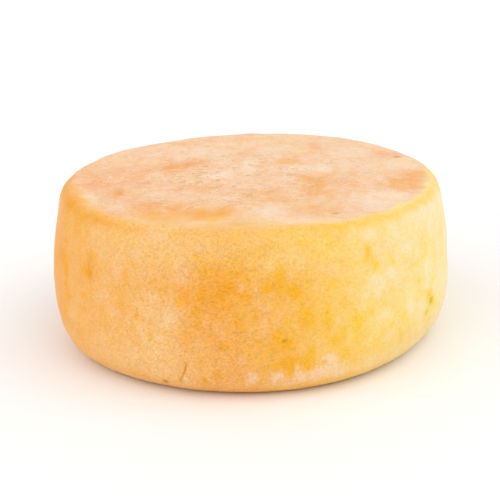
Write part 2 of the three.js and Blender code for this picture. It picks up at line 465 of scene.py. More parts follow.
wrinkle_place = smooth * WRINKLE_SHRINK + WRINKLE_WANDERS * wander[0][:, None]
wrinkles = WRINKLE_DEPTH * (WRINKLE_LEVEL - abs(noise(wrinkle_place, WRINKLE_SIZE, 34)))
relief = LUMP_DEPTH * noise(smooth, LUMP_SIZE, 31)
relief += FOLD_DEPTH * noise(smooth, FOLD_SIZE, 32)
relief += GRAIN_DEPTH * noise(smooth, GRAIN_SIZE, 33)
relief += on_top * wrinkles
pressed = EDGE_PRESSED * band(way_up, EDGE_MIDDLE, EDGE_HALF)
relief *= eased(place_height, 0, RELIEF_STARTS) * (1 - pressed)
print(f"the relief goes from {relief.min():.2f} to {relief.max():.2f} mm")

# %% [markdown]
# A drying crack opened low on the front, and its right lip curled up a little. A sliver could be cut
# out of the mesh, but that leaves sharp walls, and rind tears softly. So the grid stays whole, and
# each point's distance to a line of four points says how far it sinks or rises.

# %% The crack
CRACK_LINE = ((-107.4, 20.6), (-108.5, 17), (-109.3, 13.5), (-110.9, 9))  # degrees, mm
CRACK_HALF = 0.45
CRACK_DEPTH = 0.8
CRACK_RAGGED, CRACK_RAGGED_SIZE = 0.35, 2.0  # how far its edges wander, and over what length
CRACK_END = 0.04  # share of its length that is as shallow as its very end
CRACK_TAPER = 0.6  # a power: under 1 it stays open for most of its length
LIP_AWAY, LIP_HALF, LIP_HEIGHT = 1.6, 1.3, 0.25
SIDE_STARTS = 1.0  # height in mm: nothing is sunk or raised lower down


def crack_distance():
    """For each point the signed sideways distance to the nearest stretch of the crack's line, plus
    what it lies past the ends, in mm, and how far along the line it is, from 0 to 1."""
    first = CRACK_LINE[0][0]
    here = np.column_stack([round_from(first), place_height])
    line = [np.array([(angle - first) * MM_A_DEGREE, height]) for angle, height in CRACK_LINE]
    nearest = np.full(len(here), np.inf)
    signed, share = np.zeros(len(here)), np.zeros(len(here))
    for i, (start, end) in enumerate(zip(line, line[1:])):
        way = end - start
        t = np.clip((here - start) @ way / (way @ way), 0, 1)
        off = here - start - t[:, None] * way
        distance = np.linalg.norm(off, axis=1)
        nearer = distance < nearest
        nearest = np.where(nearer, distance, nearest)
        signed = np.where(nearer, np.sign(off @ np.array([-way[1], way[0]])) * distance, signed)
        share = np.where(nearer, (i + t) / (len(line) - 1), share)
    return signed + CRACK_RAGGED * noise(smooth, CRACK_RAGGED_SIZE, 41), share


across_crack, along_crack = crack_distance()
on_outside = (radius > FOOT_RADIUS) & (place_height > SIDE_STARTS)
way_along = np.clip(along_crack, CRACK_END, 1 - CRACK_END)
open_here = on_outside * np.sin(np.pi * way_along) ** CRACK_TAPER
crack = open_here * band(across_crack, 0, CRACK_HALF)
lip = open_here * band(across_crack, LIP_AWAY, LIP_HALF)
print(f"the crack runs over {(crack > 0.5).sum()} points")

# %% [markdown]
# Pin-holes are small bowls where the rind did not close. They are pushed in as the crack is. Four of
# them show on the front. Nine more are scattered round the back by a small random number source
# with a seed, in the places where the CAD wheel has its own.

# %% Pin-holes
PINHOLES = (  # degrees, height, width, tallness and depth in mm
    (-31.8, 28.9, 4.2, 5.0, 1.3),
    (-33.6, 23.6, 2.2, 3.6, 0.9),
    (-82.4, 30.3, 3.2, 2.4, 0.8),
    (-115.9, 6.9, 2.4, 2.2, 0.9),
)
STRAY_COUNT, STRAY_FROM, STRAY_TO, STRAY_SEED = 9, 15, 160, 12
STRAY_HEIGHTS = (14, 68)
STRAY_WIDTHS = (2, 3.6)
STRAY_TALLNESS = (0.7, 1.3)  # height over width
STRAY_DEEPNESS = 0.3  # depth over width
RANDOM_FACTOR, RANDOM_PRIME = 16807, 2147483647


def seeded_random(seed):
    """Numbers from 0 to 1: a whole number is multiplied by the factor, its remainder after division
    by the prime is kept, and that over the prime is given."""
    state = seed
    while True:
        state = state * RANDOM_FACTOR % RANDOM_PRIME
        yield state / RANDOM_PRIME


def drawn(draws, low, high):
    """The next of the drawn numbers, spread evenly from low to high."""
    return low + (high - low) * next(draws)


def stray_pinholes():
    """Pin-holes whose width, angle, height and tallness are drawn in this order, one pin-hole in
    each of nine equal stretches round the back."""
    draws = seeded_random(STRAY_SEED)
    holes = []
    for i in range(STRAY_COUNT):
        wide = drawn(draws, *STRAY_WIDTHS)
        angle = STRAY_FROM + (STRAY_TO - STRAY_FROM) * drawn(draws, i, i + 1) / STRAY_COUNT
        height = drawn(draws, *STRAY_HEIGHTS)
        tall = wide * drawn(draws, *STRAY_TALLNESS)
        holes.append((angle, height, wide, tall, wide * STRAY_DEEPNESS))
    return holes


def bowl(angle, height, wide, tall):
    """1 in the middle of a round bowl and 0 from its rim outwards: one less the squared distance in
    half widths and half heights, squared."""
    apart = (round_from(angle) / (wide / 2)) ** 2 + ((place_height - height) / (tall / 2)) ** 2
    return on_outside * np.clip(1 - apart, 0, None) ** 2


bowls = [(bowl(*hole[:4]), hole[4]) for hole in (*PINHOLES, *stray_pinholes())]
hollow = CRACK_DEPTH * crack + sum(depth * shape for shape, depth in bowls)
print(f"{len(bowls)} pin-holes; the deepest place lies {hollow.max():.2f} mm in")

# %% [markdown]
# All of it is added along the outward direction, and then the wheel is set in the middle of the
# frame, as the CAD wheel is. A Displace modifier could push the points out, but added here the sum
# can be measured, and the foot can be kept from sinking below the floor.

# %% The wheel as a mesh
placed = smooth + normals * (swells + relief + LIP_HEIGHT * lip - hollow)[:, None]
placed[:, 2] = np.maximum(placed[:, 2], 0)
placed[:, :2] -= (placed[:, :2].min(0) + placed[:, :2].max(0)) / 2

wheel_mesh = bpy.data.meshes.new("cheese_wheel_rind")
wheel_mesh.from_pydata(placed * MM, [], [*faces.tolist(), *fan.tolist()])
wheel_mesh.polygons.foreach_set("use_smooth", np.ones(len(wheel_mesh.polygons), bool))
wheel = in_the_scene("cheese_wheel_rind", wheel_mesh)
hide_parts("cheese_wheel")
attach(wheel, "root")
print("the fine wheel spans", (placed.max(0) - placed.min(0)).round(1), "mm")

# %% [markdown]
# ## Three numbers for the colour of a rind
#
# The colour of such a rind tells its story with three numbers. How ripe it is takes it from pale
# straw to deep orange, where it was washed and rubbed most. How dusty it is takes it from dense and
# clear to chalky, where salt dried on it. Bloom is the white-pink film that yeast leaves in places.
# All could be painted. Here they are built up at every point: first a slow change round the wheel,
# then the bands that the shelf and the hoop left, then single marks.

# %% The slow change round the side
ROUND_THE_SIDE = (  # degrees, ripe, dusty
    (-175, 0.98, 0.78),
    (-160, 0.98, 0.62),
    (-150, 0.86, 0.50),
    (-140, 0.88, 0.55),
    (-130, 0.88, 0.65),
    (-120, 0.90, 0.61),
    (-111, 0.92, 0.65),
    (-103, 0.96, 0.52),
    (-96, 0.97, 0.44),
    (-88, 0.87, 0.43),
    (-79, 0.70, 0.41),
    (-70, 0.49, 0.43),
    (-60, 0.31, 0.50),
    (-50, 0.25, 0.56),
    (-40, 0.15, 0.60),
    (-30, 0.09, 0.66),
    (-18, 0.07, 0.76),
    (5, 0.20, 0.63),
    (40, 0.62, 0.58),
    (75, 0.90, 0.70),
    (105, 0.72, 0.63),
    (140, 0.90, 0.74),
    (165, 0.98, 0.83),
)
SPREAD = 6  # degrees over which the keys are smoothed
ANGLE_WANDERS, ANGLE_WANDER_SIZE = 4.0, 24.0  # degrees, and mm


def round_the_wheel(keys, angle):
    """Values read in a straight line between keys, on across the back, then smoothed with a bell
    that is summed over three spreads each way. Each key is an angle and one value or more."""
    at, *rows = np.array(keys, float).T
    degrees = np.arange(-180, 180)
    bell = band(np.arange(-3 * SPREAD, 3 * SPREAD + 1), 0, SPREAD)
    values = []
    for row in rows:
        read = np.interp(degrees, np.concatenate([at - 360, at, at + 360]), np.tile(row, 3))
        ring = np.convolve(np.tile(read, 3), bell / bell.sum(), "same")[360:720]
        values.append(np.interp(angle, np.arange(-180, 181), np.append(ring, ring[0])))
    return values


uneven_angle = place_angle + ANGLE_WANDERS * noise(smooth, ANGLE_WANDER_SIZE, 51)
side_ripe, side_dusty = round_the_wheel(ROUND_THE_SIDE, uneven_angle)
print(f"on the side ripeness goes from {side_ripe.min():.2f} to {side_ripe.max():.2f}")

# %% [markdown]
# The shelf kept the lowest two centimetres dustier, and a little riper where the rest is unripe. The
# hoop's rim left a band of denser and riper rind along the top edge, which is strong on the left and
# on the right and hardly there in the middle of the front. Above the darkest places the upper side
# is a little paler. Rows of marks could make all that, but a soft band whose strength is read from
# keys goes round in one line.

# %% Bands along the foot and the top edge
HOOP_BAND = (  # degrees, strength
    (-170, 0.9),
    (-158, 0.6),
    (-149, 0.6),
    (-143, 0.5),
    (-138, 0.9),
    (-131, 0.6),
    (-122, 0.55),
    (-108, 0.15),
    (-94, 0.0),
    (-80, 0.0),
    (-70, 0.45),
    (-58, 0.6),
    (-46, 0.7),
    (-30, 0.85),
    (-20, 0.6),
    (40, 0.7),
    (90, 0.4),
    (140, 0.8),
)
HOOP_AT, HOOP_HALF, HOOP_WANDERS = 80.5, 4.7, 1.5  # on the way up, in mm
LOW_FULL, LOW_ENDS = 8, 26  # heights in mm
HIGH_STARTS, HIGH_FULL = 54, 76
RIPE_FROM, RIPE_FULL = 0.4, 0.9  # how ripe the side has to be to count as a dark place
HOOP_RIPER, HOOP_DUSTIER = 0.24, -0.55
LOW_RIPER, LOW_DUSTIER = 0.12, 0.08
HIGH_RIPER, HIGH_DUSTIER = -0.14, 0.17

hoop_strength = round_the_wheel(HOOP_BAND, uneven_angle)[0]
hoop = hoop_strength * band(way_up + HOOP_WANDERS * wander[1], HOOP_AT, HOOP_HALF)
low = eased(-place_height, -LOW_ENDS, -LOW_FULL)
high = eased(place_height, HIGH_STARTS, HIGH_FULL)
dark = eased(side_ripe, RIPE_FROM, RIPE_FULL)
side_ripe = side_ripe + HOOP_RIPER * hoop + LOW_RIPER * low * (1 - dark) + HIGH_RIPER * high * dark
side_dusty = side_dusty + HOOP_DUSTIER * hoop + LOW_DUSTIER * low + HIGH_DUSTIER * high
print(f"the hoop's band covers {(hoop > 0.4).mean():.1%} of the points")

# %% [markdown]
# Marks come last. They could be painted with a brush, but a list can be read and put right line by
# line. A mark is a soft oval that makes its place dustier or less dusty, or riper or less ripe. Its
# edge is made ragged in two ways: the places are shifted with noise before they are measured, and
# the mark's strength is frayed with finer noise. Broad faint marks shade a whole stretch of the
# side, and the small ones are the spots and streaks that stand out in it.

# %% Marks on the side
DUSTY_ON_SIDE = (  # degrees, height, half length, half width, turn, dustier
    # broad and faint
    (-114, 13, 28, 12, 0, 0.24),
    (-145, 66, 24, 12, 0, -0.12),
    (-140, 18, 22, 12, 0, 0.16),
    (-86, 45, 26, 20, 0, -0.15),
    (-64, 20, 26, 16, 0, -0.15),
    (-38, 15, 26, 10, 0, -0.18),
    (-160, 50, 8, 30, 0, -0.18),
    (-148, 74, 26, 6, 0, -0.24),
    (-156, 70, 8, 8, 0, -0.14),
    (-24, 66, 8, 11, 0, -0.12),
    (-47, 11, 32, 5, 0, 0.30),
    (-119, 24, 10, 6, 0, 0.26),
    (-76, 38.5, 7, 4, 0, -0.18),
    (-75, 49, 9, 3, 0, -0.10),
    (-69, 60.5, 8, 3.5, 0, 0.34),
    (-56, 50.5, 8, 4.5, 0, 0.36),
    (-38, 16, 14, 4, 0, 0.20),
    (-30, 44, 11, 5, 0, -0.13),
    # left
    (-153, 49.5, 3.2, 3, 0, -0.90),
    (-155.5, 54.5, 6, 3.5, 0, -0.66),
    (-154, 62, 3.5, 1.4, 15, -0.44),
    (-152.5, 43, 2, 3.5, 0, -0.44),
    (-151.5, 35.5, 4.5, 1.9, 18, -0.42),
    (-154, 28, 6, 6, 0, -0.26),
    (-145, 21, 3, 6, -30, -0.24),
    (-141.3, 35.5, 3.5, 1.6, 8, -0.34),
    (-141.5, 41.5, 3.2, 1.8, 5, -0.53),
    (-138.2, 54, 3, 3.4, 0, -0.40),
    (-139, 56, 5.5, 6, 0, -0.24),
    (-138, 63, 2.4, 1.6, 0, -0.26),
    (-130.5, 24, 1.8, 2, 0, -0.48),
    (-127.5, 71, 4, 2.6, 0, -0.14),
    (-126, 44, 2.5, 5, 0, -0.26),
    (-124.8, 55, 1.4, 5, 0, -0.18),
    (-126, 8.5, 8, 1.8, 0, -0.25),
    (-139.5, 13, 6, 5, 0, 0.14),
    (-134, 38.5, 4, 3.5, 0, 0.14),
    (-148, 30, 4, 6, 0, 0.35),
    (-137, 71, 7, 5, 0, 0.10),
    (-134, 43.5, 3.4, 2.2, 15, 0.39),
    (-132.5, 46.3, 3.4, 1.7, 20, 0.59),
    (-133.5, 64, 3, 2.4, 0, 0.47),
    (-131, 53, 3.5, 1.4, 20, 0.32),
    (-129, 38, 3, 2.2, 0, 0.20),
    (-128, 61, 2.4, 5, 0, 0.39),
    (-127, 58, 1.6, 3, 0, 0.72),
    # left of the crack
    (-125, 42, 3, 4, 0, -0.14),
    (-113, 10, 4, 3, 0, -0.15),
    (-129, 27, 5, 4, 0, 0.16),
    (-116.5, 34.5, 5, 4, 0, 0.18),
    (-116.5, 73, 6, 5, 0, 0.20),
    (-121, 76, 4, 3, 0, 0.18),
    (-123, 33, 1.8, 1.8, 0, -0.29),
    (-122.5, 63.5, 3.4, 2.2, 0, -0.24),
    (-121.8, 25.6, 3.5, 1.7, 0, -0.34),
    (-121.5, 40, 1.6, 3, 0, -0.30),
    (-117.6, 30.6, 2.3, 2.2, 0, -0.38),
    (-116, 57, 2.8, 1.7, 25, -0.49),
    (-114, 33.5, 2.2, 1.6, 0, -0.29),
    (-112.5, 63, 1.5, 3.5, 0, -0.29),
    (-112, 55, 4.5, 1.6, 22, -0.28),
    (-124.5, 37, 2.8, 2.3, 0, 0.32),
    (-121.5, 68, 2.3, 1.7, 0, 0.36),
    (-120.5, 45.5, 3, 2, 0, 0.50),
    (-120, 33.5, 2.2, 3.2, 0, 0.50),
    (-118.2, 42, 2.4, 3, 0, 0.70),
    (-117, 49.5, 3.4, 2.6, 0, 0.85),
    (-117, 77, 3.2, 1.6, 0, 0.59),
    (-115.5, 23.7, 4.5, 2.2, 12, 0.85),
    (-115, 15, 4, 2.2, 0, 0.60),
    (-114.7, 30.7, 2.5, 1.4, 0, 0.78),
    (-113, 76, 3.2, 2.6, 0, 0.65),
    (-112.3, 41, 4.5, 7, 0, 0.85),
    # right of the crack
    (-107, 50.5, 4, 7, 0, -0.25),
    (-105, 51.5, 9, 4, 0, -0.14),
    (-97, 63, 3, 3, 0, 0.13),
    (-99, 40, 4, 4, 0, -0.12),
    (-101.4, 60, 3, 4, 0, -0.12),
    (-96, 18.5, 4, 4, 0, -0.20),
    (-91.5, 30, 4, 5, 0, 0.20),
    (-91, 42, 3.5, 5, 0, 0.14),
    (-108.6, 48.5, 2.3, 2.2, 0, -0.78),
    (-108.5, 55, 3, 2, 0, -0.24),
    (-107.4, 31, 2, 3.5, 0, -0.26),
    (-105, 20, 2.2, 2.2, 0, -0.23),
    (-104.7, 44.5, 1.7, 3, 0, -0.45),
    (-104.3, 39.5, 1.4, 1.7, 0, -0.34),
    (-104.5, 69, 2.4, 1.5, 0, -0.36),
    (-104, 10, 1.5, 3.5, 0, -0.50),
    (-103.5, 52.5, 2, 5, 0, -0.26),
    (-102, 63, 5, 6, 0, -0.34),
    (-100.2, 13.3, 2.4, 3, 0, -0.50),
    (-98, 56, 9, 9, 0, -0.14),
    (-97.8, 28, 3, 2.2, 0, -0.18),
    (-95.6, 55, 2, 4.5, 0, -0.36),
    (-95, 62, 3, 1.5, 0, -0.39),
    (-94, 40, 1.8, 3.4, 22, -0.36),
    (-94.3, 77, 2, 1.7, 0, -0.16),
    (-92.2, 51.7, 2.2, 2, 0, -0.95),
    (-91.5, 23, 1.5, 4.5, 0, -0.17),
    (-91.5, 59.5, 1.8, 1.5, 0, -0.17),
    (-109.5, 26, 2.2, 2.2, 0, 0.50),
    (-108.5, 65, 3.5, 3, 0, 0.36),
    (-107.8, 60, 3.2, 3.4, 0, 0.74),
    (-104.9, 29, 1.5, 2.5, 0, 0.42),
    (-102.5, 74, 2.8, 1.7, 0, 0.27),
    (-102, 41, 1.4, 2.2, 0, 0.27),
    (-101.5, 20, 3.2, 2.2, 0, 0.18),
    (-99.5, 38, 2, 2.2, 0, 0.42),
    (-98, 34, 2.2, 2.4, 0, 0.35),
    (-98, 70.5, 3.2, 1.7, 0, 0.27),
    (-93.4, 21.3, 1.8, 1.8, 0, 0.55),
    (-93, 57, 1.8, 2.5, 0, 0.14),
    (-92, 74, 3.5, 1.8, 0, 0.18),
    # the middle of the front
    (-86.3, 63.5, 3.5, 6, 0, -0.17),
    (-77.4, 70, 5, 3, 0, 0.16),
    (-77.5, 55.5, 3.5, 3.5, 0, 0.18),
    (-83.5, 40.5, 3, 3, 0, 0.14),
    (-75, 74.5, 5, 3, 0, -0.14),
    (-71.5, 23, 4.5, 5, 0, 0.24),
    (-89.6, 42.5, 1.5, 3.4, 0, -0.24),
    (-89.5, 65, 1.4, 1.8, 0, -0.21),
    (-89, 30, 1.6, 1.8, 0, -0.32),
    (-88, 71.3, 3.5, 1.9, 38, -0.24),
    (-86.4, 55.4, 2.6, 2, 0, -0.53),
    (-85.5, 18.5, 2.3, 1.8, 0, -0.32),
    (-83.7, 33, 2.3, 2.8, 0, -0.45),
    (-82.6, 29.8, 2.8, 2.8, 0, -0.55),
    (-82.8, 59.5, 2.6, 5, 0, -0.50),
    (-82.2, 18.8, 4, 3, 0, -0.50),
    (-81, 15, 1.5, 3.2, 0, -0.42),
    (-79.4, 52.5, 2.2, 3, 0, -0.53),
    (-77, 75, 3, 5, 0, -0.15),
    (-76.7, 39, 3, 5.5, 0, -0.25),
    (-76.5, 19, 3, 2.7, 0, -0.90),
    (-76.5, 14.8, 1.4, 2.2, 0, -0.20),
    (-75.3, 24, 1.8, 3.4, 0, -0.45),
    (-75, 56, 1.8, 2.4, 0, -0.21),
    (-71, 40, 1.7, 7.5, 0, -0.35),
    (-89, 55.5, 1.6, 5, 0, 0.28),
    (-88.3, 47.5, 1.6, 2.5, 30, 0.25),
    (-88, 34, 1.8, 3, 0, 0.14),
    (-87.3, 40, 1.8, 4.5, 0, 0.38),
    (-86.3, 45.7, 2.2, 1.4, 0, 0.36),
    (-85.6, 64, 2.5, 2, 0, 0.34),
    (-85, 52, 2.3, 1.5, 0, 0.24),
    (-83.7, 42, 1.7, 5.5, -20, 0.27),
    (-81.5, 67.5, 2.8, 2, 0, 0.25),
    (-80.6, 59.7, 1.8, 1.8, 0, 0.32),
    (-78, 27, 2, 4.5, 0, 0.14),
    (-77.5, 66, 2.8, 3.2, 0, 0.12),
    (-73.5, 54, 2.5, 4, 0, 0.18),
    (-73.3, 33, 1.8, 10, 0, 0.16),
    # right of the middle
    (-68.5, 71.5, 8, 3, 0, -0.15),
    (-62, 36, 7, 4, 10, -0.34),
    (-57, 44, 3, 2.5, 0, 0.14),
    (-59.5, 63, 4, 3, 0, 0.14),
    (-69, 54.5, 1.7, 1.8, 0, -0.28),
    (-68.8, 28, 3, 1.8, 40, -0.54),
    (-66, 72, 6, 4, 0, -0.20),
    (-66.5, 32, 1.8, 2, 0, -0.26),
    (-66.3, 20, 2.2, 3, 0, -0.18),
    (-65.5, 44.5, 6.5, 2.4, -40, -0.18),
    (-65, 54.7, 1.8, 1.8, 0, -0.22),
    (-64, 8.5, 3.5, 1.4, -20, -0.28),
    (-62.5, 26.5, 2.8, 1.7, 0, -0.18),
    (-62, 61, 4.5, 2.5, 0, -0.36),
    (-61.6, 32, 2, 3.8, 15, -0.22),
    (-58.3, 62, 2.4, 2, 0, -0.30),
    (-58.2, 66, 2.1, 3, 0, -0.52),
    (-58, 37, 3.3, 2, 0, -0.20),
    (-56, 58.6, 2.8, 2.2, -40, -0.47),
    (-53.5, 39.5, 2.8, 2.2, 0, -0.30),
    (-50.5, 44.5, 1.8, 2.3, 0, -0.20),
    (-50.5, 27, 3.2, 1.5, -25, -0.40),
    (-49.4, 57.3, 3.8, 1.6, -38, -0.42),
    (-48, 34, 1.6, 4.2, 35, -0.12),
    (-46, 19, 1.8, 5.5, 17, -0.38),
    (-45.2, 28, 1.6, 4, 30, -0.30),
    (-68, 37, 2, 2.8, -20, 0.33),
    (-65.2, 26.5, 1.6, 2.8, 0, 0.18),
    (-62.8, 73, 1.8, 4, 0, 0.14),
    (-60.5, 45.5, 3.2, 1.6, -15, 0.20),
    (-57, 73, 3.8, 2.2, 0, 0.40),
    (-56.3, 51.5, 4, 1.5, -5, 0.30),
    (-56, 64.5, 1.4, 1.7, 0, 0.12),
    (-55.8, 45, 2.5, 2.7, 0, 0.45),
    (-54, 81, 1.6, 3, 0, 0.10),
    (-53.7, 33.7, 4.2, 1.9, 10, 0.42),
    (-51.5, 22, 3.4, 2.2, 0, 0.17),
    (-51, 52.2, 3, 2.6, 0, 0.58),
    # right
    (-43, 62, 4, 7, 0, 0.13),
    (-45, 46.5, 3.5, 1.4, -22, -0.20),
    (-43.5, 51.3, 3, 1.4, 0, -0.32),
    (-41.5, 12.5, 3.5, 1.4, -20, -0.50),
    (-40, 51.7, 1.8, 1.4, 0, -0.40),
    (-38.8, 43, 1.8, 1.5, 0, -0.42),
    (-37, 14, 3.5, 1.4, -30, -0.62),
    (-36.5, 35.5, 4, 1.6, -30, -0.16),
    (-36.5, 53.5, 3, 1.4, 0, -0.30),
    (-35.5, 56.5, 2.4, 2.8, 0, -0.24),
    (-35, 62, 6, 4.5, 0, -0.15),
    (-34, 24, 3, 1.8, -30, -0.56),
    (-31.8, 29.5, 5.5, 3, -50, -0.75),
    (-31.7, 39.7, 2.5, 1.5, 0, -0.28),
    (-25, 50, 7, 1.8, -15, -0.20),
    (-48, 70, 4.5, 3.6, 0, 0.18),
    (-46, 61, 2.3, 2.2, 0, 0.26),
    (-43.5, 62, 3, 3, 0, 0.21),
    (-42.8, 32, 2.4, 4.6, 10, 0.53),
    (-40, 19, 2.4, 1.7, 0, 0.19),
    (-38, 30.3, 3.2, 1.5, -25, 0.31),
    (-37, 23, 3.6, 2.4, -45, 0.23),
    (-37, 80.5, 1.6, 3, 0, 0.35),
    (-35, 45, 2, 3.2, 0, 0.55),
    (-34.5, 38, 2.2, 1.5, 0, 0.28),
    (-33, 73.7, 13, 2.2, -5, 0.35),
)
RIPE_ON_SIDE = (  # degrees, height, half length, half width, turn, riper
    (-115, 14, 34, 12, 0, -0.10),
    (-145, 66, 24, 12, 0, 0.05),
    (-90, 69, 26, 8, 0, -0.07),
    (-38, 15, 26, 10, 0, 0.12),
    (-47, 11, 32, 5, 0, -0.10),
    (-117, 31, 14, 12, 0, -0.08),
    (-91, 40, 5, 16, 0, -0.07),
    (-24, 60, 7, 10, 0, 0.06),
    (-148, 73, 24, 7, 0, 0.10),
    (-161, 48, 5, 24, 0, 0.20),
    (-150, 22.5, 6, 3, 20, 0.16),
    (-138, 55, 3, 5, 0, 0.14),
    (-85, 66, 4, 3, 0, -0.08),
    (-82, 20, 7, 6, 0, 0.05),
    (-79, 52, 3, 4, 0, 0.08),
    (-70, 37, 4, 8, 0, 0.06),
    (-70, 69, 10, 8, 0, -0.10),
    (-68, 28, 4, 5, 0, 0.12),
    (-58, 64, 2.5, 5, 0, 0.10),
    (-57, 50, 8, 5, 0, -0.08),
    (-33.2, 33.5, 2, 3, 0, 0.30),
)
WANDERS = 2.2  # mm by which a large mark's edge wanders
SMALL_WANDERS = 0.3  # and a small mark's, as a share of its half width
FRAY, FRAY_SIZE, FRAY_LAYERS = 0.5, 6.0, 4  # how much the noise frays a mark, its size and layers

fray = 1 + FRAY * layered_noise(smooth, FRAY_SIZE, 81, FRAY_LAYERS)


def oval(along, up, long, wide, turn):
    """A bell that falls off with the distance from a mark's middle, in its own half length and half
    width, and after it is turned by its own angle. Noise shifts it and frays it."""
    shift = min(WANDERS, SMALL_WANDERS * min(long, wide))
    a, b = along + shift * wander[0], up + shift * wander[1]
    c, s = math.cos(math.radians(turn)), math.sin(math.radians(turn))
    return fray * np.exp(-(((a * c + b * s) / long) ** 2) - ((b * c - a * s) / wide) ** 2)


def side_oval(angle, height, long, wide, turn=0):
    """A mark on the side: its angle and height in degrees and mm, then as for an oval."""
    return oval(round_from(angle), place_height - height, long, wide, turn)


for *mark, dustier in DUSTY_ON_SIDE:
    side_dusty = side_dusty + dustier * side_oval(*mark)
for *mark, riper in RIPE_ON_SIDE:
    side_ripe = side_ripe + riper * side_oval(*mark)
print(len(DUSTY_ON_SIDE) + len(RIPE_ON_SIDE), "marks on the side")

# %% [markdown]
# The top face starts from one even pair of numbers. Here ripe means rubbed orange, and dusty means
# that the film lies thick. Its front left is rubbed all over, down to the edge. Its marks could be
# placed by angle too, but near the middle an angle says little, so they are placed by how far they
# lie to the right and behind.

# %% Marks on the top face
TOP_RIPE, TOP_DUSTY = 0.52, 0.66
RIPE_DRIFTS, RIPE_DRIFT_SIZE = 0.10, 22.0  # how much noise adds to them, and its size in mm
DUSTY_DRIFTS, DUSTY_DRIFT_SIZE = 0.08, 18.0
TOP_MARKS = (  # to the right, behind, half length, half width, turn, riper, dustier
    (-34, -60, 30, 10, -6, 0.12, -0.26),
    (0, 48, 50, 25, 0, 0.00, 0.12),
    (62, -5, 26, 26, 0, -0.06, 0.03),
    (36, -66, 8, 9, 0, 0.04, -0.25),
    (-62, -42, 14, 22, 0, 0.14, -0.08),
    (17, 36, 22, 8, 0, 0.15, -0.06),
    (72, 32, 9, 11, 0, 0.24, -0.12),
    (-10, 28, 5, 9, 0, 0.00, 0.20),
    (32, -20, 8, 10, 0, 0.08, -0.16),
    (36, 58, 7, 11, 0, 0.06, -0.15),
    (58, 14, 6, 9, 0, -0.05, 0.15),
    (28, -62, 12, 8, 0, 0.08, -0.32),
    (33, -36, 8, 10, 0, 0.08, -0.22),
    (-35, -46, 9, 7, 0, 0.12, -0.20),
    (-84, 14, 6, 11, 0, 0.18, -0.28),
    (76, -38, 5, 7, 0, 0.00, -0.15),
    (5, -58, 7, 8, 0, 0.12, -0.10),
    (-66, 0, 6, 8, 0, -0.12, 0.24),
    (-31, -64, 5, 6, 0, -0.10, 0.15),
    (52, -43, 5, 7, 0, -0.12, 0.22),
    (-2, -78, 11, 7, 0, 0.00, -0.24),
    (-52, -52, 6, 6, 0, 0.05, -0.28),
    (42, -38, 24, 14, 0, 0.02, -0.12),
    (-80, 26, 3.9, 10.1, 0, -0.18, -0.28),
    (-74, -9, 7.8, 10.1, 0, 0.31, -0.03),
    (-64, -23, 3.4, 5.6, 0, 0.36, -0.51),
    (-60, 2, 22, 32, 0, 0.35, -0.18),
    (-46, -44, 6.7, 5.6, 0, 0.24, -0.26),
    (-42, -58, 5, 9, 0, 0.00, -0.15),
    (-39, 23, 6, 12, 0, 0.32, -0.48),
    (-37, 73, 7.3, 4, 0, 0.17, -0.31),
    (-36, -52, 3.4, 5, 0, 0.15, -0.20),
    (-28, 30, 6, 12, 0, 0.30, -0.46),
    (-25, -58, 9, 10, 0, 0.14, -0.40),
    (-20, -20, 9, 12.3, 0, 0.12, -0.15),
    (-20, 77, 7.8, 4, 0, 0.24, -0.08),
    (-11, -57.5, 5, 8, 0, 0.14, -0.60),
    (-3, 46, 7.3, 9, 0, 0.06, -0.33),
    (3, 75.5, 13.4, 4, 0, -0.06, -0.36),
    (4, -34, 5.6, 10.1, 0, 0.00, -0.46),
    (7, -46, 7.8, 5, 0, 0.00, -0.22),
    (16, -43, 5, 7.8, 0, 0.06, -0.48),
    (21, 26, 6.2, 5.6, 0, 0.04, -0.90),
    (27, -5, 3.9, 7.8, 0, 0.12, -0.38),
    (28, 44, 3.9, 6.7, 0, -0.36, -0.50),
    (31, -57, 9, 9, 0, 0.08, -0.22),
    (33, -16, 7.3, 16, 0, 0.15, -0.58),
    (37, 53, 3.9, 11.2, 0, 0.20, -0.14),
    (41, -3, 3.9, 6.7, 0, 0.12, -0.50),
    (50, -22, 6.7, 12.3, 0, 0.10, -0.14),
    (52, -4, 2.9, 7.8, 0, 0.12, -0.29),
    (73, 35, 3.9, 5.6, 0, 0.12, -0.23),
    (75, -27, 8, 10, 0, 0.15, -0.95),
    (12, -38, 12, 9, 0, 0.03, -0.12),
    (74, -14, 6.7, 7.8, 0, 0.08, -0.28),
    (84, -9, 6.2, 9, 0, 0.02, -0.95),
    (-79, -31, 5.6, 13.4, 15, -0.24, 0.34),
    (-62, -46, 7.3, 12.3, 0, -0.08, 0.06),
    (-44, 5, 7.8, 10.1, 0, -0.20, 0.06),
    (-33, 48, 9, 8, 0, 0.03, 0.28),
    (-25, 60, 2.8, 12.3, 0, 0.00, 0.25),
    (-15, 5, 6.7, 7.8, 0, -0.12, 0.25),
    (0, 25, 2.8, 11.2, 0, -0.10, 0.80),
    (8, -62, 7.3, 10.1, 0, -0.14, 0.47),
    (20, -80, 10.1, 6.2, 0, -0.06, 0.34),
    (20, -8, 3.9, 10.1, 0, 0.00, 0.42),
    (25, 12, 6.7, 5.6, 0, -0.14, 0.38),
    (38, -76, 7.8, 5, 0, 0.00, 0.10),
    (39, 12, 3.9, 6.7, 0, -0.14, 0.85),
    (56, 38, 10.1, 15.7, 0, -0.06, 0.22),
    (57, -54, 10.1, 12.3, 0, -0.14, 0.30),
    (70, -45, 7.8, 10.1, 0, -0.12, 0.32),
    (80, 10, 7.8, 10.1, 0, -0.18, 0.25),
)


def top_oval(right, behind, long, wide, turn=0):
    """A mark on the top face: how far to the right and behind in mm, then as for an oval."""
    return oval(smooth[:, 0] - right, smooth[:, 1] - behind, long, wide, turn)


